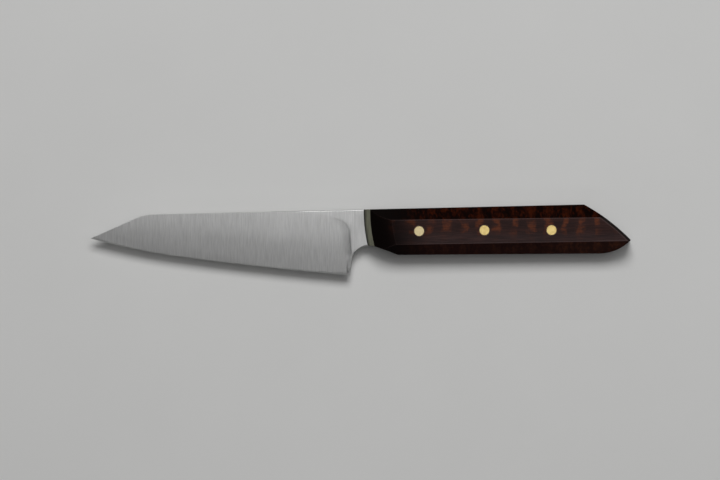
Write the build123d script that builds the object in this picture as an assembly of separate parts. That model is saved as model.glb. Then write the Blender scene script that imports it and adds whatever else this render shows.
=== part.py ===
from build123d import *
import math
import os

# A paring knife with a clipped point, a full tang and two faceted wooden scales.
# It lies on its right side. X runs from the point to the butt, Y from the cutting
# edge to the spine, and Z up from the flat that it lies on. The origin is on that
# flat, under the middle of the grip. Lengths are in millimetres, angles in degrees.

# Overall sizes, along the knife
blade_length = 105.0
neck_length = 5.5
handle_length = 108.0
origin_setback = 58.2

# Blade outline, seen from the side: heights are above the line through the origin
tip_height = -3.2
clip_length = 21.8
clip_corner_radius = 16.0
spine_height = 8.5
spine_rise_angle = 1.3
knee_length = 70.3
knee_height = -10.4
heel_height = -18.2
heel_edge_angle = 4.9

# Finger choil behind the heel, and the belly of the grip
choil_radius = 7.0
choil_setback = 7.7
choil_height = -13.1
choil_end_angle = 17.0
belly_corner_setback = 13.8
belly_corner_height = -9.9
belly_corner_radius = 2.0
belly_rise_angle = 0.4

# Butt
butt_top_length = 18.8
butt_point_height = -3.85
butt_upper_radius = 82.0
butt_lower_length = 12.6
butt_bevel_width = 1.1

# Blade steel and its grinding
steel_thickness = 2.2
steel_edge_radius = 0.35
edge_thickness = 0.42
sharpening_angle = 18.0
grind_start_length = 4.0
grind_start_drop = 3.2
grind_lean_angle = 8.1
grind_bow_radius = 450.0
plunge_setback = 1.55
plunge_turn_drop = 3.7
plunge_turn_radius = 4.0
plunge_turn_angle = 60.0
plunge_root_radius = 3.0

# Section of the grip, and its convex front
grip_thickness = 15.0
flat_top_front = 4.1
flat_top_rear = 5.4
flat_bottom_front = -6.0
facet_angle = 45.0
grip_edge_radius = 0.4
front_plan_radius = 60.0
front_plan_height = 7.7
front_profile_radius = 21.6
front_flat_angle = 12.0

# Layers of the grip
liner_thickness = 0.4
spacer_length = 2.6

# Pins
pin_diameter = 4.0
pin_clearance = 0.05
front_pin_setback = 22.4
rear_pin_setback = 32.1
middle_pin_lead = 0.35
front_pin_height = -0.25
middle_pin_height = 0.1
rear_pin_height = 0.15

# How far cutting shapes run past what they cut, and how closely edges are matched
overrun = 5.0
match_tolerance = 0.001

# Places worked out from the sizes above
front_x = -origin_setback
heel = Vector(front_x - neck_length, heel_height)
tip = Vector(heel.X - blade_length, tip_height)
butt_point = Vector(front_x + handle_length, butt_point_height)
reach = blade_length + neck_length + handle_length
mid_z = grip_thickness / 2
steel_bottom = mid_z - steel_thickness / 2
steel_top = mid_z + steel_thickness / 2
liner_top = steel_top + liner_thickness
mid_plane = Plane(origin=(0, 0, mid_z), x_dir=(1, 0, 0), z_dir=(0, 0, 1))
front_centre = Vector(front_x + front_plan_radius, front_plan_height)
front_pin_x = front_x + front_pin_setback
rear_pin_x = butt_point.X - rear_pin_setback
middle_pin_x = (front_pin_x + rear_pin_x) / 2 - middle_pin_lead
pin_places = {
    "pin_front": (front_pin_x, front_pin_height),
    "pin_middle": (middle_pin_x, middle_pin_height),
    "pin_rear": (rear_pin_x, rear_pin_height),
}


def toward(angle):
    """Unit vector in the XY plane at an angle from +X."""
    return Vector(math.cos(math.radians(angle)), math.sin(math.radians(angle)))


def spine_point(x):
    """Point of the straight line that the spine and the back of the grip share."""
    rise = (x - front_x) * math.tan(math.radians(spine_rise_angle))
    return Vector(x, spine_height + rise)


def both_sides(shape):
    """A cutter for the left side of the knife, together with its mirror image."""
    return shape + mirror(shape, about=mid_plane)


def slab(plan, bottom, top):
    """Plan region extruded between two heights."""
    return Pos(0, 0, bottom) * extrude(plan, top - bottom)


def cutting_edge():
    """The cutting edge, from the heel to the tip, as two tangent arcs."""
    knee = Vector(heel.X - knee_length, knee_height)
    rear_arc = TangentArc(heel, knee, tangent=toward(180 - heel_edge_angle))
    front_arc = TangentArc(knee, tip, tangent=rear_arc % 1)
    return rear_arc, front_arc


def heel_and_choil():
    """The heel line and the round choil that it runs into without a corner."""
    centre = Vector(heel.X + choil_setback, choil_height)
    across = centre - heel
    tangent_length = math.sqrt(across.length**2 - choil_radius**2)
    lean = math.degrees(math.atan2(across.Y, across.X) + math.asin(choil_radius / across.length))
    heel_line = Line(heel, heel + toward(lean) * tangent_length)
    first = lean + 90
    last = 90 - choil_end_angle
    return heel_line, CenterArc(centre, choil_radius, first, last - first)


def butt_arc():
    """Upper edge of the butt, from the back of the grip down to its point."""
    return RadiusArc(spine_point(butt_point.X - butt_top_length), butt_point, butt_upper_radius)


def knife_plan():
    """Outline of blade and tang together, seen from the side."""
    rear_arc, front_arc = cutting_edge()
    heel_line, choil = heel_and_choil()
    clip_corner = spine_point(tip.X + clip_length)
    belly_corner = Vector(front_x + belly_corner_setback, belly_corner_height)
    belly_length = butt_point.X - butt_lower_length - belly_corner.X
    belly_rise = belly_length * math.tan(math.radians(belly_rise_angle))
    belly_end = belly_corner + Vector(belly_length, belly_rise)
    plan = make_face(
        [
            rear_arc,
            front_arc,
            Line(tip, clip_corner),
            Line(clip_corner, butt_arc() @ 0),
            butt_arc(),
            TangentArc(belly_end, butt_point, tangent=toward(belly_rise_angle)),
            Line(belly_end, belly_corner),
            TangentArc(choil @ 1, belly_corner, tangent=toward(-choil_end_angle)),
            choil,
            heel_line,
        ]
    )
    plan = fillet(plan.vertices().sort_by_distance(clip_corner)[0], clip_corner_radius)
    return fillet(plan.vertices().sort_by_distance(belly_corner)[0], belly_corner_radius)


def behind_front(setback):
    """Plan region behind the curved front of the grip, or behind a curve inside it."""
    radius = front_plan_radius - setback
    rear = Rectangle(reach, 2 * radius, align=(Align.MIN, Align.CENTER))
    return Pos(*front_centre) * (Circle(radius) + rear)


def front_cutter():
    """Everything ahead of the convex front, which is turned about one upright axis."""
    flat_angle = math.radians(front_flat_angle)
    rise = grip_thickness - steel_top
    root_angle = math.acos(math.cos(flat_angle) - rise / front_profile_radius)
    centre = Vector(
        front_plan_radius - front_profile_radius * math.sin(root_angle),
        grip_thickness - front_profile_radius * math.cos(flat_angle),
    )
    angles = (root_angle, (root_angle + flat_angle) / 2, flat_angle / 2)
    root, middle, crest = [
        centre + Vector(math.sin(angle), math.cos(angle)) * front_profile_radius for angle in angles
    ]
    outer = front_plan_radius + overrun
    top = crest.Y + overrun
    profile = make_face(
        [
            ThreePointArc(root, middle, crest),
            Polyline(crest, (crest.X, top), (outer, top), (outer, mid_z), (root.X, mid_z), root),
        ]
    )
    upright = Plane(origin=(*front_centre, 0), x_dir=(0, 1, 0), z_dir=(1, 0, 0))
    axis = Axis((*front_centre, 0), (0, 0, 1))
    return both_sides(revolve(upright * profile, axis, 180))


def facet_cutter(front_height, rear_height, side):
    """Wedge over one long facet; side is 1 at the back of the grip, -1 at its belly."""
    front = Vector(front_x, front_height, grip_thickness)
    rear = Vector(butt_point.X, rear_height, grip_thickness)
    run = (rear - front).normalized()
    across = Vector(-run.Y, run.X, 0) * side
    lean = math.radians(facet_angle)
    normal = across * math.sin(lean) + Vector(0, 0, 1) * math.cos(lean)
    facet = Plane(origin=front, x_dir=run, z_dir=normal)
    block = Box(2 * reach, reach, grip_thickness, align=(Align.CENTER, Align.CENTER, Align.MIN))
    return both_sides(facet * block)


def butt_bevel_cutter():
    """Wedge swept over the narrow bevel along the upper edge of the butt."""
    arc = butt_arc()
    ahead = arc % 0
    start = arc @ 0 - ahead * overrun
    end = arc @ 1 + (arc % 1) * overrun
    path = Wire([Line(start, arc @ 0), arc, Line(arc @ 1, end)])
    depth = -butt_bevel_width - overrun
    wedge = make_face(Polyline((depth, overrun), (overrun, overrun), (overrun, depth), close=True))
    across = Plane(origin=(start.X, start.Y, grip_thickness), x_dir=(-ahead.Y, ahead.X, 0), z_dir=ahead)
    return both_sides(sweep(across * wedge, path))


def is_on_butt(edge, arcs):
    """Whether an edge runs round the end of the grip, along one of its two arcs."""
    start = edge @ 0
    end = edge @ 1
    middle = edge @ 0.5
    upright = (Vector(start.X, start.Y) - Vector(end.X, end.Y)).length < match_tolerance
    below = Vertex(middle.X, middle.Y, 0)
    return not upright and min(arc.distance_to(below) for arc in arcs) < match_tolerance


def grip_body():
    """The whole grip, before it is parted into tang, liners, spacers and scales."""
    plan = knife_plan() & behind_front(-overrun)
    body = slab(plan, 0, grip_thickness) - front_cutter()
    body -= facet_cutter(flat_top_front, flat_top_rear, 1)
    body -= facet_cutter(flat_bottom_front, butt_point.Y - grip_edge_radius, -1)
    butt_arcs = plan.edges().filter_by(GeomType.CIRCLE).sort_by(Axis.X)[-2:]
    lines = body.edges().filter_by(GeomType.LINE)
    facet_edges = lines.filter_by(lambda edge: edge.length > handle_length / 2)
    butt_edges = body.edges().filter_by(lambda edge: is_on_butt(edge, butt_arcs))
    return fillet(facet_edges + butt_edges, grip_edge_radius) - butt_bevel_cutter()


def pin_holes():
    """Bores for the three pins, right through the grip."""
    bore = Cylinder(pin_diameter / 2 + pin_clearance, grip_thickness + 2 * overrun)
    return [Pos(*place, mid_z) * bore for place in pin_places.values()]


def grind_start():
    """Where the broad bevel starts, a little ahead of the heel."""
    return Vector(heel.X - grind_start_length, spine_height - grind_start_drop)


def grind_bow():
    """Large cylinder that the broad bevel on the left side follows, down to the heel."""
    start = grind_start()
    down = toward(-90 - grind_lean_angle)
    along = Vector(down.Y, -down.X, 0)
    chord = Vector((heel - start).dot(down), (edge_thickness - steel_thickness) / 2)
    inward = Vector(chord.Y, -chord.X).normalized()
    rise = math.sqrt(grind_bow_radius**2 - chord.length**2 / 4)
    centre = chord / 2 + inward * rise
    section = Plane(origin=(start.X, start.Y, steel_top), x_dir=down, z_dir=along)
    return section * Pos(*centre) * Cylinder(grind_bow_radius, 2 * reach)


def grind_cutter():
    """What the broad bevel takes off the left side, with its rounded plunge."""
    wall_x = heel.X + plunge_setback
    turn_start = Vector(wall_x, grind_start().Y - plunge_turn_drop)
    turn = JernArc(turn_start, (0, 1), plunge_turn_radius, plunge_turn_angle)
    above = spine_height + overrun
    below = heel.Y - overrun
    beyond = tip.X - overrun
    turn_end = turn @ 1
    away = turn % 1
    run_out = turn_end + away * ((above - turn_end.Y) / away.Y)
    rest = Polyline(turn_end, run_out, (beyond, above), (beyond, below), (wall_x, below), turn_start)
    block = slab(make_face([turn, rest]), steel_bottom - overrun, steel_top + overrun) - grind_bow()
    floor_face = block.faces().sort_by(Axis.Z)[0]
    walls = floor_face.edges().sort_by_distance(turn @ 0.5)[:3]
    return fillet(walls, plunge_root_radius)


def sharpening_cutter():
    """What the fine bevel takes off the left side, swept along the cutting edge."""
    rear_arc, front_arc = cutting_edge()
    start = heel - (rear_arc % 0) * overrun
    end = tip + (front_arc % 1) * overrun
    path = Wire([Line(start, heel), rear_arc, front_arc, Line(tip, end)])
    width = steel_thickness / math.tan(math.radians(sharpening_angle))
    section = make_face(
        Polyline(
            (0, 0),
            (width, steel_thickness),
            (width, 2 * steel_thickness),
            (-overrun, 2 * steel_thickness),
            (-overrun, 0),
            close=True,
        )
    )
    ahead = rear_arc % 0
    inward = Vector(ahead.Y, -ahead.X)
    across = Plane(origin=(start.X, start.Y, 0), x_dir=inward, z_dir=-ahead)
    return Pos(0, 0, mid_z) * sweep(across * section, path)


def blade(grip):
    """Blade and full tang in one piece of steel: blank, eased edges, bevels, bores."""
    blank = slab(knife_plan() - behind_front(0), steel_bottom, steel_top)
    spine_middle = spine_point((tip.X + clip_length + front_x) / 2)
    choil_middle = heel_and_choil()[1] @ 0.5
    rims = [
        edge
        for mark in (spine_middle, choil_middle)
        for edge in blank.edges().sort_by_distance((mark.X, mark.Y, mid_z))[:2]
    ]
    ground = fillet(rims, steel_edge_radius)
    ground -= both_sides(grind_cutter())
    ground -= both_sides(sharpening_cutter())
    tang = grip & slab(behind_front(-overrun), steel_bottom, steel_top)
    return ground + tang - pin_holes()


def liner(grip):
    """Thin sheet between the tang and the left scale."""
    return grip & slab(behind_front(-overrun), steel_top, liner_top) - pin_holes()


def front_spacer(grip):
    """Strip that closes the front of the left scale."""
    plan = behind_front(-overrun) - behind_front(spacer_length)
    return grip & slab(plan, liner_top, grip_thickness)


def scale(grip):
    """Left half of the wooden grip, behind the spacer."""
    return grip & slab(behind_front(spacer_length), liner_top, grip_thickness) - pin_holes()


def pin(place):
    """Rod through both scales and the tang, flush with the flats at both ends."""
    return Pos(*place, mid_z) * Cylinder(pin_diameter / 2, grip_thickness)


def knife_pieces():
    """Every separate piece of the knife, by name."""
    grip = grip_body()
    pieces = {"blade": blade(grip)}
    for name, make in (("liner", liner), ("front_spacer", front_spacer), ("scale", scale)):
        left = make(grip)
        pieces[f"{name}_left"] = left
        pieces[f"{name}_right"] = mirror(left, about=mid_plane)
    for name, place in pin_places.items():
        pieces[name] = pin(place)
    return pieces


if __name__ == "__main__":
    os.makedirs("parts", exist_ok=True)
    for name, piece in knife_pieces().items():
        export_step(piece, f"parts/{name}.step")
        print(name, len(piece.solids()), round(piece.volume, 1))
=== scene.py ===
from functools import reduce
import math

import bpy
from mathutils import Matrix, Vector


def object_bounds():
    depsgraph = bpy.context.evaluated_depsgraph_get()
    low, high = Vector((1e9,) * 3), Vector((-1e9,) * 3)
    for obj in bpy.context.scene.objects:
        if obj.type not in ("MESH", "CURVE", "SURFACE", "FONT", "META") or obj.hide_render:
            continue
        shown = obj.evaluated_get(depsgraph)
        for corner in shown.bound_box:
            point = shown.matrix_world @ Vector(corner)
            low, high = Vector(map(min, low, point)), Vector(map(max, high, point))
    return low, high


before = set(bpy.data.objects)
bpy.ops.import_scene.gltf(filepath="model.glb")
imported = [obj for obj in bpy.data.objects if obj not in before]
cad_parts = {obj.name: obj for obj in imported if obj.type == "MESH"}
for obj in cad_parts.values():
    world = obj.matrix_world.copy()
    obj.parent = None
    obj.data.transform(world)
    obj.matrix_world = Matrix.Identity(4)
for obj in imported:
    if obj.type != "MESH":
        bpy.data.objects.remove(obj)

# A paring knife lying on its right side, seen from straight above. X runs from the
# point to the butt, Y from the cutting edge to the spine, Z up. Lengths are in metres
# in the scene. The materials read their place on the knife in millimetres, and so all
# their sizes and places are in millimetres. Colours are linear red, green and blue.

cad_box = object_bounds()
MM = 0.001

# Camera: one pixel of the photo is 0.405 mm at the middle of the knife's thickness
PIXEL = 0.405 * MM
PIXELS_WIDE = 720
VIEW_CENTRE = (-59.7 * MM, -3.85 * MM)
SENSOR_WIDTH = 36 * MM
FOCAL_LENGTH = 400 * MM

# Studio: a pale floor, a soft key panel behind the spine, a wide panel overhead that
# the metal mirrors, a dim strip before the edge that the fine bevel mirrors, and a sky
FLOOR_SIZE = 8.0
KEY_PLACE = Vector((0.10, 0.68, 1.34))
KEY_SIZE = (0.55, 0.55)
KEY_WATTS = 10.5
TOP_PLACE = Vector((0.30, 0.3675, 1.70))
TOP_SIZE = (1.30, 1.115)
TOP_WATTS = 6.0
STRIP_PLACE = Vector((-0.12, -1.09, 1.50))
STRIP_SIZE = (2.00, 0.20)
STRIP_WATTS = 0.85
SKY = (0.05, 0.05, 0.05, 1)

# In the values below, a pair of places or levels says where a share starts and where it
# is full. A pair of pairs is a range, and what it is taken to.

# Levels that most of a smooth noise lies between
SPREAD = (0.3, 0.7)

# Likeness of the rounded normal to the face's own, away from a rim and full on one
OFF_RIM = 0.999
ON_RIM = 0.93

# Faint mottling of the floor
FLOOR_CELLS = (60, 60, 60)
FLOOR_TONES = ((0.74, 0.74, 0.73), (0.78, 0.78, 0.77))

# Steel: cells of its marks, across the rubbed lines, along them and in depth
HAIRLINE_CELLS = (0.14, 5, 5)
STROKE_CELLS = (0.42, 7, 7)
BAND_CELLS = (1.6, 22, 22)
CLOUD_CELLS = (14, 9, 9)
STRAY_CELLS = (0.5, 9, 9)
STRAY_TURN = 7
STRAY_LEVELS = (0.66, 0.74)
SCRATCH_DEPTH_SHARE = 0.6
RUB_DIRECTION = (0, 1, 0.02)
STEEL_RELIEF = 0.01
STEEL_ROUGHNESS = ((0.2, 0.8), (0.32, 0.42))
CLOUD_ROUGHNESS = (SPREAD, (-0.008, 0.008))

STROKE_WEIGHT = 0.6
HAIRLINE_WEIGHT = 0.25
BAND_WEIGHT = 0.1
CLOUD_WEIGHT = 0.05
STEEL_TONES = ((0.59, 0.59, 0.585), (0.77, 0.77, 0.765))
NECK_SHADE_STEEL = (0.50, 0.50, 0.495)
PLUNGE_SHADE_STEEL = (0.20, 0.20, 0.20)
FOOT_LIGHT_STEEL = (0.95, 0.95, 0.94)
# Painted highlight on the blade's rims, a lighter steel
RIM_HIGHLIGHT_STEEL = (0.74, 0.74, 0.73)
RIM_RADIUS = 0.35

# The neck, a shade darker behind the bevel and below the spine: painted shade in its colour
NECK_X = (-62.6, -61.6)
NECK_Y = (8.0, 6.0)
NECK_SHADE_SHARE = 0.36

# The plunge is the steep end of the blade's bevel. It follows a leaning line, and turns
# forward on a round corner below the spine. Places named LEAD are distances behind it.
PLUNGE_X = -64.97
PLUNGE_LEAN = 0.1407
PLUNGE_TURN = 3.3
PLUNGE_TURN_Y = 2.0

# Painted shade along the plunge's hollow: a fine line, moved aside by amounts that follow Y,
# and a broad skirt ahead of it. Both fade towards the spine and along the blade.
LINE_SHIFT_LOW = ((-8.0, 0.0), (0.4, 0.9))
LINE_SHIFT_HIGH = ((0.0, 4.5), (0.9, -0.6))
LINE_REACH = (0.75, 0.1)
LINE_FADE = ((3.0, -5.0), (0.2, 0.6))
SKIRT_LEAD = 0.5
SKIRT_REACH = (5.0, 0.0)
SKIRT_SHARE = 0.33
SKIRT_Y = (-12.0, -8.0)
PLUNGE_SHADE_FADE = ((5.5, 0.5), (0.3, 1.0))
PLUNGE_SHADE_LEAD = (-8.0, -2.0)

# Foot of the heel, painted brighter: painted light on its steel
FOOT_LEAD = (-3.0, -1.0)
FOOT_END_LEAD = (1.0, 0.5)
FOOT_Y = (-14.0, -16.0)
FOOT_LIGHT_SHARE = 0.6

# Stretch of the plunge whose shading is rounded, and the heel, where it is flattened too
ROUND_X = (-68.5, -66.5)
ROUND_END_X = (-61.0, -62.5)
ROUND_TOP_Y = (7.5, 6.0)
ROUND_FOOT_Y = (-11.0, -8.0)
ROUND_RADII = (0.05 * MM, 1.3 * MM)
HEEL_Y = (-8.0, -10.5)
HEEL_LEAD = (-4.5, -3.0)
FLATTENED_SHARE = 0.68
LEAST_SLOPE = 0.2

# Wood: cells of its marks, along the grip, across it and in depth
GRAIN_CELLS = (7, 0.25, 0.25)
VEIN_CELLS = (20, 1.4, 1.4)
WANDER_CELLS = (8, 8, 8)
RAGGED_CELLS = (3, 0.45, 0.45)
FLECK_CELLS = (1.3, 4, 4)
PATCH_CELLS = (5, 3, 3)
SPECK_CELLS = (1.1, 3, 3)

# Red-brown bars cross the grip at even steps, wander by a share of a step, and are weaker
# in patches, on the lower half of the flat and at the butt
FIRST_BAR = -45.8
BAR_SPACING = 6.885
WANDER_SHARES = (-0.22, 0.22)
RAGGED_SHARES = (-0.06, 0.06)
BAR_WAVE = 0.42
BAR_LEVELS = (0.40, 0.93)
BAR_PATCHES = ((0.4, 0.6), (0.1, 1.0))
BAR_UPPER_SHARES = ((0, 1), (0.12, 1.0))
BAR_BUTT_SHARES = ((38, 43), (1.0, 0.15))

# Flat of the grip, mauve below and brown above: the wood's own tone with its sheen painted in,
# as a painted reflection that is stronger below
UPPER_Y = (-3.0, 0.6)
MAUVE_AND_SHEEN = ((0.038, 0.0255, 0.0252), (0.056, 0.032, 0.030))
BROWN_AND_SHEEN = ((0.030, 0.0180, 0.0170), (0.048, 0.0240, 0.0215))
BAR_RED = (0.120, 0.038, 0.0205)

# Facets with flecks, nearly black above at the front, and lighter below at the rear: lit and
# shaded copies of the wood, painted light and shade by which way a facet faces
SPECK_LEVELS = (0.46, 0.72)
BAR_SPECK_SHARE = 0.6
LIT = ((0.0040, 0.0008, 0.0004), (0.044, 0.0072, 0.0015))
LIT_FRONT = (0.0020, 0.0006, 0.0003)
LIT_FRONT_X = (-50, -28)
SHADED = ((0.018, 0.0060, 0.0053), (0.038, 0.0125, 0.0082))
SHADED_REAR = ((0.025, 0.0092, 0.0072), (0.066, 0.0215, 0.0115))
SHADED_REAR_X = (5, 40)

# Bevel of the butt, nearly black above and brown towards the point
BUTT_Y = (6.0, 4.5)
BUTT_TONES = ((0.0050, 0.0015, 0.0010), (0.022, 0.0165, 0.0155))

# Parts of a face's normal that tell the flat, the lower facets and the butt's bevel
FLAT_RISE = (0.8, 0.98)
LOWER_SIDE = (-0.2, -0.5)
BUTT_ALONG = (0.2, 0.4)

# Nearly black front of the grip, which ends on a leaning line
FRONT_WOOD = (0.004, 0.0026, 0.0024)
FRONT_LEAN = 0.4
FRONT_END = (-51.3, -28.5)

# Pores, a painted highlight on the rims round the flat, wider at the rear, and a low gloss
PORE_LEVELS = (0.42, 0.62)
PORE_SHARE = 0.3
PORE = (0.004, 0.0022, 0.002)
RIM_HIGHLIGHT_WOOD = (0.105, 0.069, 0.067)
RIM_HIGHLIGHT_RADIUS = 0.5
RIM_HIGHLIGHT_ON_RIM = 0.985
REAR_HIGHLIGHT_RADIUS = 1.0
REAR_HIGHLIGHT_ON_RIM = 0.99
REAR_HIGHLIGHT_X = (33, 37)
RIM_HIGHLIGHT_SHARES = ((0, 1), (0.25, 0.9))
WOOD_RELIEF = 0.02
WOOD_ROUGHNESS = (SPREAD, (0.30, 0.42))
GLOSS = 0.02
GLOSS_TINT = (1.0, 0.85, 0.87, 1)

# Upright axis about which the grip's convex front is turned
FRONT_CENTRE = (1.8, 7.7, 0.0)
FRONT_RADIUS = 60.0

# Laminate strips, with layers, grit, and painted shade along the front
LAYER_CELLS = (0.22, 7, 7)
GRIT_CELLS = (0.25, 0.25, 0.25)
GRIT_SHARES = ((0.6, 0.75), (0.0, 0.3))
LAMINATE_TONES = ((0.13, 0.13, 0.10), (0.24, 0.24, 0.17))
GRIT = (0.34, 0.33, 0.25)
FRONT_SHADE_SHARES = ((1.2, 0.4), (0.0, 0.7))
FRONT_SHADE = (0.012, 0.012, 0.010)
WORN_LAMINATE = (0.36, 0.35, 0.28)
WORN_LAMINATE_RADIUS = 0.15
WORN_LAMINATE_SHARE = 0.25
LAMINATE_RELIEF = 0.01
LAMINATE_ROUGHNESS = (SPREAD, (0.42, 0.58))

# Fibre liners
FUZZ_CELLS = (0.12, 0.12, 0.12)
FUZZ_LEVELS = (0.35, 0.7)
FIBRE_TONES = ((0.006, 0.006, 0.006), (0.028, 0.026, 0.024))
WORN_FIBRE = (0.05, 0.047, 0.044)
WORN_FIBRE_RADIUS = 0.1
WORN_FIBRE_SHARE = 0.3
FIBRE_RELIEF = 0.02
FIBRE_ROUGHNESS = (SPREAD, (0.55, 0.75))

# Brass pins, the front one duller
SANDING_CELLS = (3, 0.09, 0.09)
SANDING_TURN = 3
TARNISH_CELLS = (1.4, 1.4, 1.4)
BRASS_TONES = ((0.49, 0.37, 0.147), (0.58, 0.455, 0.19))
DULL_BRASS = (0.42, 0.37, 0.26)
DULL_SHARES = ((-30, -20), (0.6, 0.0))
BRASS_RIM = (0.16, 0.10, 0.04)
BRASS_RIM_RADIUS = 0.3
BRASS_ON_RIM = 0.96
BRASS_RIM_SHARE = 0.85
BRASS_RELIEF = 0.008
BRASS_ROUGHNESS = (SPREAD, (0.32, 0.44))


# Node graphs

def put(tree, kind, inputs=(), **settings):
    """One node, with its settings, and a value or a link for each input by name or number."""
    made = tree.nodes.new(kind)
    for name, value in settings.items():
        setattr(made, name, value)
    for name, value in dict(inputs).items():
        if isinstance(value, bpy.types.NodeSocket):
            tree.links.new(value, made.inputs[name])
        else:
            made.inputs[name].default_value = value
    return made


def place_mm(tree):
    """Place on the knife, in millimetres."""
    here = put(tree, "ShaderNodeTexCoord").outputs["Object"]
    scale = (1 / MM, 1 / MM, 1 / MM)
    return put(tree, "ShaderNodeMapping", {"Vector": here, "Scale": scale}).outputs[0]


def noise(tree, place, cells, detail=2.0, roughness=0.5, distortion=0.0, turn=0.0):
    """Smooth noise from 0 to 1 with cells of these sizes, turned about Z in degrees."""
    scale = tuple(1 / cell for cell in cells)
    rotation = (0, 0, math.radians(turn))
    inputs = {"Vector": place, "Scale": scale, "Rotation": rotation}
    stretched = put(tree, "ShaderNodeMapping", inputs).outputs[0]
    inputs = {
        "Vector": stretched,
        "Scale": 1.0,
        "Detail": detail,
        "Roughness": roughness,
        "Distortion": distortion,
    }
    return put(tree, "ShaderNodeTexNoise", inputs).outputs[0]


def span(tree, value, given, wanted=(0.0, 1.0), smooth=True):
    """Value taken from the given range to the wanted one, and held at its ends."""
    kind = "SMOOTHSTEP" if smooth else "LINEAR"
    ends = dict(zip(("From Min", "From Max", "To Min", "To Max"), (*given, *wanted)))
    return put(tree, "ShaderNodeMapRange", {"Value": value, **ends}, interpolation_type=kind).outputs[0]


def calc(tree, operation, a, b=0.0):
    """One operation on two numbers."""
    return put(tree, "ShaderNodeMath", {0: a, 1: b}, operation=operation).outputs[0]


def total(tree, *terms):
    """All the terms added up."""
    return reduce(lambda a, b: calc(tree, "ADD", a, b), terms)


def product(tree, *factors):
    """All the factors multiplied."""
    return reduce(lambda a, b: calc(tree, "MULTIPLY", a, b), factors)


def vector_sum(tree, operation, a, b=(0, 0, 0), output=0):
    """One operation on two vectors."""
    return put(tree, "ShaderNodeVectorMath", {0: a, 1: b}, operation=operation).outputs[output]


def blend(tree, share, a, b):
    """Colour b over colour a, by a share. A colour is a link, or red, green and blue."""
    a, b = [(*colour, 1) if isinstance(colour, tuple) else colour for colour in (a, b)]
    return put(tree, "ShaderNodeMix", {0: share, 6: a, 7: b}, data_type="RGBA").outputs[2]


def parts_of(tree, vector):
    """X, Y and Z of a vector."""
    return put(tree, "ShaderNodeSeparateXYZ", {0: vector}).outputs[:3]


def geometry(tree, output):
    """What the surface itself says, such as its normal."""
    return put(tree, "ShaderNodeNewGeometry").outputs[output]


def rounded_normal(tree, radius, samples):
    """Normal as if the edges within this radius in metres were rounded."""
    return put(tree, "ShaderNodeBevel", {"Radius": radius}, samples=samples).outputs[0]


def bumped(tree, height, depth, strength, over=None):
    """Normal with a relief of this depth, over another normal if one is given."""
    inputs = {"Height": height, "Distance": depth * MM, "Strength": strength}
    if over:
        inputs["Normal"] = over
    return put(tree, "ShaderNodeBump", inputs).outputs[0]


def edge_share(tree, radius, on_rim=ON_RIM):
    """1 on the rims of a piece and 0 away from them, from its shape within this radius."""
    rounded = rounded_normal(tree, radius * MM, samples=4)
    likeness = vector_sum(tree, "DOT_PRODUCT", rounded, geometry(tree, "True Normal"), "Value")
    return span(tree, likeness, (OFF_RIM, on_rim))


def across(tree, lines):
    """Direction along the surface, across fine lines that run this way."""
    return vector_sum(tree, "CROSS_PRODUCT", lines, geometry(tree, "Normal"))


def material(name):
    """An empty node material, its tree and its shader."""
    made = bpy.data.materials.new(name)
    made.use_nodes = True
    tree = made.node_tree
    tree.nodes.clear()
    shader = tree.nodes.new("ShaderNodeBsdfPrincipled")
    output = tree.nodes.new("ShaderNodeOutputMaterial")
    tree.links.new(shader.outputs[0], output.inputs["Surface"])
    return made, tree, shader


def finish_with(tree, shader, **inputs):
    """Sets or links the shader's inputs, named with spaces as underscores."""
    for name, value in inputs.items():
        socket = shader.inputs[name.replace("_", " ")]
        if isinstance(value, bpy.types.NodeSocket):
            tree.links.new(value, socket)
        else:
            socket.default_value = value


# Steel of the blade

def beyond_plunge(tree, x, y):
    """Distance behind the plunge's leaning line."""
    upright = total(tree, x, product(tree, y, PLUNGE_LEAN))
    return calc(tree, "SUBTRACT", upright, PLUNGE_X)


def outside_plunge(tree, y, beyond):
    """Distance outside the plunge's line and its round corner."""
    turn_x = calc(tree, "MAXIMUM", total(tree, beyond, PLUNGE_TURN), 0.0)
    turn_y = calc(tree, "MAXIMUM", calc(tree, "SUBTRACT", y, PLUNGE_TURN_Y), 0.0)
    squares = total(tree, calc(tree, "POWER", turn_x, 2.0), calc(tree, "POWER", turn_y, 2.0))
    return calc(tree, "SUBTRACT", calc(tree, "POWER", squares, 0.5), PLUNGE_TURN)


def plunge_shade_share(tree, y, beyond):
    """Share of painted shade in the steel along the plunge."""
    shift = calc(tree, "MINIMUM", span(tree, y, *LINE_SHIFT_LOW), span(tree, y, *LINE_SHIFT_HIGH))
    aside = calc(tree, "SUBTRACT", outside_plunge(tree, y, beyond), shift)
    line = span(tree, calc(tree, "ABSOLUTE", aside), LINE_REACH)
    line = product(tree, line, span(tree, y, *LINE_FADE))
    ahead = calc(tree, "ABSOLUTE", total(tree, aside, SKIRT_LEAD))
    skirt = span(tree, ahead, SKIRT_REACH, (0.0, SKIRT_SHARE))
    skirt = product(tree, skirt, span(tree, y, SKIRT_Y))
    fade = span(tree, y, *PLUNGE_SHADE_FADE)
    return product(tree, total(tree, skirt, line), fade, span(tree, beyond, PLUNGE_SHADE_LEAD))


def foot_light_share(tree, y, beyond):
    """Share of painted light on the foot of the heel."""
    ahead = span(tree, beyond, FOOT_LEAD, (0.0, FOOT_LIGHT_SHARE))
    return product(tree, ahead, span(tree, beyond, FOOT_END_LEAD), span(tree, y, FOOT_Y))


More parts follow.
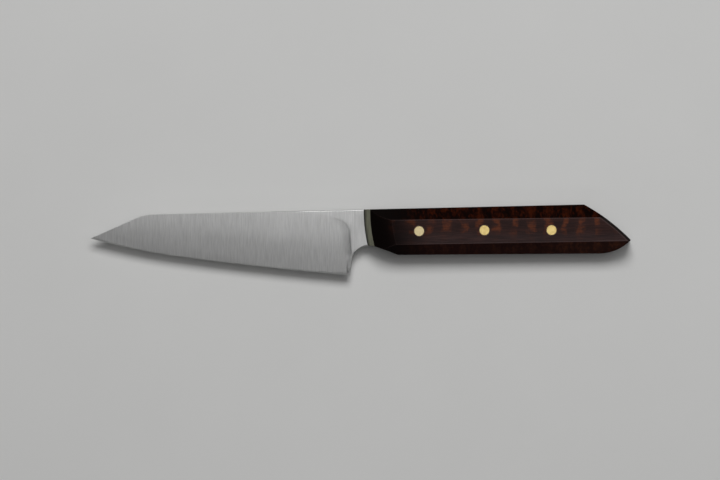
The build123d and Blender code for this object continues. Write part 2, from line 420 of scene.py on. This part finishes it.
def blade_normal(tree, x, y, beyond):
    """Normal that rounds the plunge, and takes most of its slope away beside the heel."""
    sides = product(tree, span(tree, x, ROUND_X), span(tree, x, ROUND_END_X))
    plunge = product(tree, sides, span(tree, y, ROUND_TOP_Y), span(tree, y, ROUND_FOOT_Y))
    rounded = rounded_normal(tree, span(tree, plunge, (0, 1), ROUND_RADII), samples=12)
    heel = product(tree, span(tree, y, HEEL_Y), span(tree, beyond, HEEL_LEAD))
    flattened = calc(tree, "MAXIMUM", heel, product(tree, plunge, FLATTENED_SHARE))
    slope = span(tree, flattened, (0, 1), (1.0, LEAST_SLOPE), smooth=False)
    slopes = put(tree, "ShaderNodeCombineXYZ", {0: slope, 1: 1.0, 2: 1.0}).outputs[0]
    return vector_sum(tree, "NORMALIZE", vector_sum(tree, "MULTIPLY", rounded, slopes))


def satin_steel():
    """Steel rubbed by hand from spine to edge, with fine lines that run along Y."""
    made, tree, shader = material("satin_steel")
    place = place_mm(tree)
    x, y, _ = parts_of(tree, place)
    beyond = beyond_plunge(tree, x, y)

    hairline = noise(tree, place, HAIRLINE_CELLS, detail=4, roughness=0.6)
    stroke = noise(tree, place, STROKE_CELLS, detail=3, roughness=0.65)
    band = noise(tree, place, BAND_CELLS)
    cloud = noise(tree, place, CLOUD_CELLS)
    stray = noise(tree, place, STRAY_CELLS, detail=5, roughness=0.7, turn=STRAY_TURN)
    tone = total(
        tree,
        product(tree, stroke, STROKE_WEIGHT),
        product(tree, hairline, HAIRLINE_WEIGHT),
        product(tree, band, BAND_WEIGHT),
        product(tree, cloud, CLOUD_WEIGHT),
    )

    colour = blend(tree, span(tree, tone, SPREAD), *STEEL_TONES)
    # Painted shade on the neck
    neck_shade = product(tree, span(tree, x, NECK_X, (0.0, NECK_SHADE_SHARE)), span(tree, y, NECK_Y))
    colour = blend(tree, neck_shade, colour, NECK_SHADE_STEEL)
    # Painted shade along the plunge
    colour = blend(tree, plunge_shade_share(tree, y, beyond), colour, PLUNGE_SHADE_STEEL)
    # Painted light on the heel's foot
    colour = blend(tree, foot_light_share(tree, y, beyond), colour, FOOT_LIGHT_STEEL)
    # Painted highlight on the blade's rims
    colour = blend(tree, edge_share(tree, RIM_RADIUS), colour, RIM_HIGHLIGHT_STEEL)

    lines = span(tree, hairline, *STEEL_ROUGHNESS)
    roughness = total(tree, lines, span(tree, cloud, *CLOUD_ROUGHNESS))
    scratches = product(tree, span(tree, stray, STRAY_LEVELS), SCRATCH_DEPTH_SHARE)
    relief = total(tree, hairline, scratches)
    smooth = blade_normal(tree, x, y, beyond)
    normal = bumped(tree, relief, STEEL_RELIEF, strength=0.4, over=smooth)
    finish_with(tree, shader, Base_Color=colour, Roughness=roughness, Normal=normal)
    finish_with(tree, shader, Metallic=1.0, Anisotropic=0.93, Tangent=across(tree, RUB_DIRECTION))
    return made


# Wood of the grip

def wood_bars(tree, place, x):
    """Share of the wood's red-brown bars, ragged and broken into patches."""
    steps = calc(tree, "DIVIDE", calc(tree, "SUBTRACT", x, FIRST_BAR), BAR_SPACING)
    wander = noise(tree, place, WANDER_CELLS)
    ragged = noise(tree, place, RAGGED_CELLS, detail=3, roughness=0.6)
    wander = span(tree, wander, SPREAD, WANDER_SHARES, smooth=False)
    ragged = span(tree, ragged, SPREAD, RAGGED_SHARES, smooth=False)
    turns = product(tree, total(tree, steps, wander, ragged), 2 * math.pi)
    wave = product(tree, calc(tree, "COSINE", turns), BAR_WAVE)
    fleck = noise(tree, place, FLECK_CELLS, detail=3, roughness=0.65, distortion=0.3)
    bars = span(tree, total(tree, wave, fleck), BAR_LEVELS)
    patch = noise(tree, place, PATCH_CELLS, detail=3)
    return product(tree, bars, span(tree, patch, *BAR_PATCHES))


def flat_wood(tree, place, bars):
    """Colour of the grip's flat: veins of mauve and brown with the sheen painted in, under the bars."""
    x, y, _ = parts_of(tree, place)
    upper = span(tree, y, UPPER_Y)
    vein = noise(tree, place, VEIN_CELLS, detail=3, roughness=0.6, distortion=0.4)
    veins = span(tree, vein, SPREAD)
    # The flat's sheen is painted into both tones
    ground = blend(tree, upper, blend(tree, veins, *MAUVE_AND_SHEEN), blend(tree, veins, *BROWN_AND_SHEEN))
    figure = product(tree, bars, span(tree, upper, *BAR_UPPER_SHARES))
    figure = product(tree, figure, span(tree, x, *BAR_BUTT_SHARES))
    return blend(tree, figure, ground, BAR_RED)


def facet_wood(tree, place, bars, facing_down):
    """Colour of the grip's facets, lit above and shaded below as painted light and shade: dark red
    above and browner below, with flecks.
    """
    x, _, _ = parts_of(tree, place)
    speck = noise(tree, place, SPECK_CELLS, detail=4, roughness=0.65)
    speck = total(tree, span(tree, speck, SPECK_LEVELS), product(tree, bars, BAR_SPECK_SHARE))
    speck = span(tree, speck, (0.0, 1.0), smooth=False)
    # Lit and shaded copies of the facet colour: painted light and shade
    lit = blend(tree, speck, *LIT)
    lit = blend(tree, span(tree, x, LIT_FRONT_X), LIT_FRONT, lit)
    shaded = blend(tree, speck, *SHADED)
    rear = blend(tree, speck, *SHADED_REAR)
    shaded = blend(tree, span(tree, x, SHADED_REAR_X), shaded, rear)
    return blend(tree, facing_down, lit, shaded)


def rim_highlight_share(tree, x, level, behind):
    """Share of painted highlight on the rims of the grip's flat, which is less at the front."""
    rear_rim = edge_share(tree, REAR_HIGHLIGHT_RADIUS, REAR_HIGHLIGHT_ON_RIM)
    rear_rim = product(tree, rear_rim, span(tree, x, REAR_HIGHLIGHT_X))
    rim = calc(tree, "MAXIMUM", edge_share(tree, RIM_HIGHLIGHT_RADIUS, RIM_HIGHLIGHT_ON_RIM), rear_rim)
    return product(tree, rim, level, span(tree, behind, *RIM_HIGHLIGHT_SHARES))


def figured_wood():
    """Oiled snakewood: bars across a mauve-brown flat with painted sheen, and dark red facets with
    flecks in painted light and shade.
    """
    made, tree, shader = material("figured_wood")
    place = place_mm(tree)
    x, y, _ = parts_of(tree, place)
    along, side, rise = parts_of(tree, geometry(tree, "True Normal"))
    level = span(tree, calc(tree, "ABSOLUTE", rise), FLAT_RISE)
    facing_down = span(tree, side, LOWER_SIDE)
    facing_back = span(tree, along, BUTT_ALONG)
    behind = span(tree, total(tree, x, product(tree, y, FRONT_LEAN)), FRONT_END)

    bars = wood_bars(tree, place, x)
    facets = facet_wood(tree, place, bars, facing_down)
    colour = blend(tree, level, facets, flat_wood(tree, place, bars))
    butt = blend(tree, span(tree, y, BUTT_Y), *BUTT_TONES)
    colour = blend(tree, facing_back, colour, butt)
    colour = blend(tree, behind, FRONT_WOOD, colour)
    grain = noise(tree, place, GRAIN_CELLS, detail=4, roughness=0.6)
    pores = product(tree, span(tree, grain, PORE_LEVELS), PORE_SHARE)
    colour = blend(tree, pores, colour, PORE)
    # Painted highlight on the rims of the flat
    colour = blend(tree, rim_highlight_share(tree, x, level, behind), colour, RIM_HIGHLIGHT_WOOD)

    roughness = span(tree, grain, *WOOD_ROUGHNESS)
    relief = bumped(tree, grain, WOOD_RELIEF, strength=0.35)
    finish_with(tree, shader, Base_Color=colour, Roughness=roughness, Normal=relief)
    finish_with(tree, shader, Specular_IOR_Level=GLOSS, Specular_Tint=GLOSS_TINT)
    return made


# Strips, liners and pins of the grip

def front_setback(tree, place):
    """Distance behind the grip's convex front."""
    flat = vector_sum(tree, "MULTIPLY", place, (1, 1, 0))
    distance = vector_sum(tree, "DISTANCE", flat, FRONT_CENTRE, "Value")
    return calc(tree, "SUBTRACT", FRONT_RADIUS, distance)


def glass_laminate():
    """Olive-grey laminate, with the edges of its glass layers as fine lines."""
    made, tree, shader = material("glass_laminate")
    place = place_mm(tree)
    layer = noise(tree, place, LAYER_CELLS, detail=3, roughness=0.6)
    grit = noise(tree, place, GRIT_CELLS)
    colour = blend(tree, span(tree, layer, SPREAD), *LAMINATE_TONES)
    colour = blend(tree, span(tree, grit, *GRIT_SHARES), colour, GRIT)
    # Painted shade along the strip's front
    front_shade = span(tree, front_setback(tree, place), *FRONT_SHADE_SHARES)
    colour = blend(tree, front_shade, colour, FRONT_SHADE)
    worn = product(tree, edge_share(tree, WORN_LAMINATE_RADIUS), WORN_LAMINATE_SHARE)
    colour = blend(tree, worn, colour, WORN_LAMINATE)
    roughness = span(tree, grit, *LAMINATE_ROUGHNESS)
    normal = bumped(tree, grit, LAMINATE_RELIEF, strength=0.4)
    finish_with(tree, shader, Base_Color=colour, Roughness=roughness, Normal=normal)
    return made


def black_fibre():
    """Black fibre sheet, matt and slightly fuzzy where it is cut."""
    made, tree, shader = material("black_fibre")
    place = place_mm(tree)
    fuzz = noise(tree, place, FUZZ_CELLS, detail=3, roughness=0.6)
    colour = blend(tree, span(tree, fuzz, FUZZ_LEVELS), *FIBRE_TONES)
    worn = product(tree, edge_share(tree, WORN_FIBRE_RADIUS), WORN_FIBRE_SHARE)
    colour = blend(tree, worn, colour, WORN_FIBRE)
    roughness = span(tree, fuzz, *FIBRE_ROUGHNESS)
    normal = bumped(tree, fuzz, FIBRE_RELIEF, strength=0.5)
    finish_with(tree, shader, Base_Color=colour, Roughness=roughness, Normal=normal)
    return made


def sanded_brass():
    """Brass rod sanded flush with the wood, with fine lines along the grip."""
    made, tree, shader = material("sanded_brass")
    place = place_mm(tree)
    x, _, _ = parts_of(tree, place)
    line = noise(tree, place, SANDING_CELLS, detail=3, roughness=0.6, turn=SANDING_TURN)
    tarnish = noise(tree, place, TARNISH_CELLS)
    colour = blend(tree, span(tree, tarnish, SPREAD), *BRASS_TONES)
    colour = blend(tree, span(tree, x, *DULL_SHARES), colour, DULL_BRASS)
    rim = product(tree, edge_share(tree, BRASS_RIM_RADIUS, BRASS_ON_RIM), BRASS_RIM_SHARE)
    colour = blend(tree, rim, colour, BRASS_RIM)
    roughness = span(tree, line, *BRASS_ROUGHNESS)
    normal = bumped(tree, line, BRASS_RELIEF, strength=0.4)
    finish_with(tree, shader, Base_Color=colour, Roughness=roughness, Normal=normal, Metallic=1.0)
    return made


# Studio

def pale_floor():
    """Plain pale floor."""
    made, tree, shader = material("pale_floor")
    tone = noise(tree, place_mm(tree), FLOOR_CELLS, detail=4, roughness=0.6)
    colour = blend(tree, tone, *FLOOR_TONES)
    finish_with(tree, shader, Base_Color=colour, Roughness=0.7, Specular_IOR_Level=0.2)
    return made


def lay_floor():
    """The floor that the knife lies on."""
    half = FLOOR_SIZE / 2
    corners = [(-half, -half, 0), (half, -half, 0), (half, half, 0), (-half, half, 0)]
    mesh = bpy.data.meshes.new("floor")
    mesh.from_pydata(corners, [], [(0, 1, 2, 3)])
    mesh.materials.append(pale_floor())
    floor = bpy.data.objects.new("floor", mesh)
    bpy.context.scene.collection.objects.link(floor)


def panel(name, place, size, watts, aim):
    """A soft rectangular light that shines along aim."""
    light = bpy.data.lights.new(name, "AREA")
    light.shape = "RECTANGLE"
    light.size, light.size_y = size
    light.energy = watts
    lamp = bpy.data.objects.new(name, light)
    lamp.location = Vector((*VIEW_CENTRE, 0)) + place
    lamp.rotation_euler = aim.to_track_quat("-Z", "Y").to_euler()
    bpy.context.scene.collection.objects.link(lamp)


def light_studio():
    """Key panel and strip aimed at the knife, top panel that lies level, and the sky."""
    panel("key_panel", KEY_PLACE, KEY_SIZE, KEY_WATTS, -KEY_PLACE)
    panel("top_panel", TOP_PLACE, TOP_SIZE, TOP_WATTS, Vector((0, 0, -1)))
    panel("edge_strip", STRIP_PLACE, STRIP_SIZE, STRIP_WATTS, -STRIP_PLACE)
    world = bpy.data.worlds.new("studio")
    world.use_nodes = True
    sky = world.node_tree.nodes["Background"]
    sky.inputs["Color"].default_value = SKY
    bpy.context.scene.world = world


def set_camera():
    """Camera that looks straight down, with the photo's frame at the knife's middle height."""
    middle = (cad_box[0][2] + cad_box[1][2]) / 2
    distance = PIXELS_WIDE * PIXEL * FOCAL_LENGTH / SENSOR_WIDTH
    lens = bpy.data.cameras.new("camera")
    lens.sensor_width = SENSOR_WIDTH / MM
    lens.lens = FOCAL_LENGTH / MM
    camera = bpy.data.objects.new("camera", lens)
    camera.location = (*VIEW_CENTRE, middle + distance)
    bpy.context.scene.collection.objects.link(camera)
    bpy.context.scene.camera = camera


# The knife with its materials, in the studio

def dress(names, made):
    """Gives CAD nodes their material."""
    for name in names:
        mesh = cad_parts[name].data
        mesh.materials.clear()
        mesh.materials.append(made)


dress(["blade"], satin_steel())
dress(["liner_left", "liner_right"], black_fibre())
dress(["front_spacer_left", "front_spacer_right"], glass_laminate())
dress(["scale_left", "scale_right"], figured_wood())
dress(["pin_front", "pin_middle", "pin_rear"], sanded_brass())
lay_floor()
light_studio()
set_camera()
bpy.context.scene.view_settings.view_transform = "Standard"
